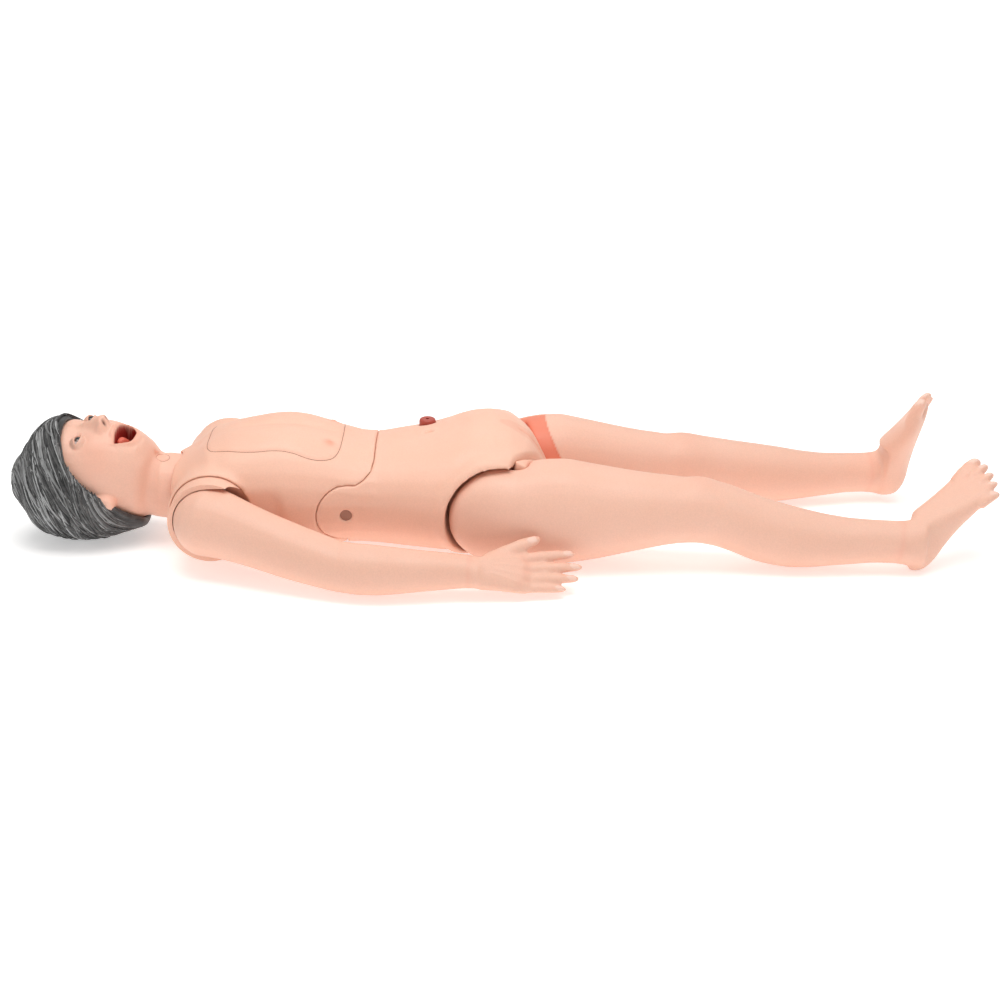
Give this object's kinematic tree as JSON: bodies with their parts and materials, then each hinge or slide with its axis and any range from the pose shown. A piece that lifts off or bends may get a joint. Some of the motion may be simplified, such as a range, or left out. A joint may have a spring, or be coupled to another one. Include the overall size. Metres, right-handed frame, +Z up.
{
  "type": "patient care simulator",
  "caption": "Full-size nursing manikin lying on its back, with jointed neck, waist, shoulders, elbows, wrists, hips, knees and ankles, a wig and removable ports.",
  "frame": {"origin": "on the surface that the manikin lies on, under the middle of the line between the hip joints", "axes": "+X towards the feet, +Y towards the manikin's left side, +Z up from the surface"},
  "size_m": [1.5611, 0.5798, 0.2135],
  "materials": {
    "torso_skin": "soft satin vinyl",
    "limb_skin": "soft satin vinyl",
    "head_skin": "soft satin vinyl",
    "hair": "grey synthetic fibre",
    "eye": "gloss",
    "mouth": "satin",
    "stoma": "satin",
    "insert": "satin",
    "hip_ring": "satin",
    "metal": "satin"
  },
  "bodies": {
    "pelvis": {"pelvis_shell": "torso_skin", "belly_skin": "torso_skin", "stoma": "stoma", "perineal_insert": "insert", "waist_bolts": "metal"},
    "chest": {"chest_shell": "torso_skin", "bust_cover": "torso_skin"},
    "neck": {"neck_swivel": "metal"},
    "head": {"head_skin": "head_skin", "wig": "hair", "right_eye": "eye", "left_eye": "eye", "tongue": "mouth", "neck_plug": "head_skin"},
    "right_shoulder": {"right_shoulder_ring": "torso_skin"},
    "right_arm": {"right_upper_arm": "limb_skin", "right_elbow_skin": "limb_skin", "right_elbow_pin": "metal"},
    "right_forearm_link": {"right_forearm": "limb_skin", "right_wrist_skin": "limb_skin"},
    "right_hand_link": {"right_hand": "limb_skin"},
    "right_hip": {"right_hip_ring": "hip_ring"},
    "right_thigh_link": {"right_thigh": "limb_skin", "right_knee_skin": "limb_skin", "right_knee_pin": "metal"},
    "right_shank_link": {"right_shank": "limb_skin", "right_ankle_skin": "limb_skin"},
    "right_foot_link": {"right_foot": "limb_skin"},
    "left_shoulder": {"left_shoulder_ring": "torso_skin"},
    "left_arm": {"left_upper_arm": "limb_skin", "left_elbow_skin": "limb_skin", "left_elbow_pin": "metal"},
    "left_forearm_link": {"left_forearm": "limb_skin", "left_wrist_skin": "limb_skin"},
    "left_hand_link": {"left_hand": "limb_skin"},
    "left_hip": {"left_hip_ring": "hip_ring"},
    "left_thigh_link": {"left_thigh": "limb_skin", "left_knee_skin": "limb_skin", "left_knee_pin": "metal"},
    "left_shank_link": {"left_shank": "limb_skin", "left_ankle_skin": "limb_skin"},
    "left_foot_link": {"left_foot": "limb_skin"}
  },
  "joints": [
    {"name": "waist_flex", "type": "hinge", "parent": "pelvis", "child": "chest", "pos_m": [-0.238, 0, 0.082], "axis": [0, 1, 0], "range_deg": [0, 35], "deforming": ["belly_skin"]},
    {"name": "head_turn", "type": "hinge", "parent": "chest", "child": "neck", "pos_m": [-0.522, 0, 0.086], "axis": [1, 0, 0], "range_deg": [-40, 25]},
    {"name": "head_nod", "type": "hinge", "parent": "neck", "child": "head", "pos_m": [-0.522, 0, 0.086], "axis": [0, 0.9816, 0.1908], "range_deg": [-6, 6]},
    {"name": "right_shoulder_raise", "type": "hinge", "parent": "chest", "child": "right_shoulder", "pos_m": [-0.448, -0.147, 0.084], "axis": [0, -1, 0], "range_deg": [0, 120]},
    {"name": "right_shoulder_spread", "type": "hinge", "parent": "right_shoulder", "child": "right_arm", "pos_m": [-0.448, -0.147, 0.084], "axis": [0, 0, -1], "range_deg": [0, 50]},
    {"name": "right_elbow", "type": "hinge", "parent": "right_arm", "child": "right_forearm_link", "pos_m": [-0.24273, -0.23236, 0.04588], "axis": [-0.225, -0.9744, 0], "range_deg": [0, 95], "deforming": ["right_elbow_skin"]},
    {"name": "right_wrist", "type": "hinge", "parent": "right_forearm_link", "child": "right_hand_link", "pos_m": [-0.04004, -0.24119, 0.03999], "axis": [-0.225, -0.9744, 0], "range_deg": [-30, 30], "deforming": ["right_wrist_skin"]},
    {"name": "right_hip_flex", "type": "hinge", "parent": "pelvis", "child": "right_hip", "pos_m": [0, -0.098, 0.082], "axis": [0, -1, 0], "range_deg": [0, 60], "deforming": ["belly_skin"]},
    {"name": "right_hip_spread", "type": "hinge", "parent": "right_hip", "child": "right_thigh_link", "pos_m": [0, -0.098, 0.082], "axis": [0, 0, -1], "range_deg": [0, 5]},
    {"name": "right_knee", "type": "hinge", "parent": "right_thigh_link", "child": "right_shank_link", "pos_m": [0.31408, -0.11996, 0.08843], "axis": [0.0698, 0.9976, 0], "range_deg": [0, 90], "deforming": ["right_knee_skin"]},
    {"name": "right_ankle", "type": "hinge", "parent": "right_shank_link", "child": "right_foot_link", "pos_m": [0.63153, -0.14216, 0.04761], "axis": [-0.0698, -0.9976, 0], "range_deg": [-20, 20], "deforming": ["right_ankle_skin"]},
    {"name": "left_shoulder_raise", "type": "hinge", "parent": "chest", "child": "left_shoulder", "pos_m": [-0.448, 0.147, 0.084], "axis": [0, -1, 0], "range_deg": [0, 120]},
    {"name": "left_shoulder_spread", "type": "hinge", "parent": "left_shoulder", "child": "left_arm", "pos_m": [-0.448, 0.147, 0.084], "axis": [0, 0, 1], "range_deg": [0, 50]},
    {"name": "left_elbow", "type": "hinge", "parent": "left_arm", "child": "left_forearm_link", "pos_m": [-0.24748, 0.24299, 0.04588], "axis": [0.2756, -0.9613, 0], "range_deg": [0, 95], "deforming": ["left_elbow_skin"]},
    {"name": "left_wrist", "type": "hinge", "parent": "left_forearm_link", "child": "left_hand_link", "pos_m": [-0.04553, 0.26241, 0.03999], "axis": [0.2756, -0.9613, 0], "range_deg": [-30, 30], "deforming": ["left_wrist_skin"]},
    {"name": "left_hip_flex", "type": "hinge", "parent": "pelvis", "child": "left_hip", "pos_m": [0, 0.098, 0.082], "axis": [0, -1, 0], "range_deg": [0, 60], "deforming": ["belly_skin"]},
    {"name": "left_hip_spread", "type": "hinge", "parent": "left_hip", "child": "left_thigh_link", "pos_m": [0, 0.098, 0.082], "axis": [0, 0, 1], "range_deg": [0, 5]},
    {"name": "left_knee", "type": "hinge", "parent": "left_thigh_link", "child": "left_shank_link", "pos_m": [0.31229, 0.12917, 0.07046], "axis": [-0.0993, 0.9951, 0], "range_deg": [0, 90], "deforming": ["left_knee_skin"]},
    {"name": "left_ankle", "type": "hinge", "parent": "left_shank_link", "child": "left_foot_link", "pos_m": [0.62994, 0.16088, 0.04761], "axis": [0.0993, -0.9951, 0], "range_deg": [-20, 20], "deforming": ["left_ankle_skin"]}
  ]
}
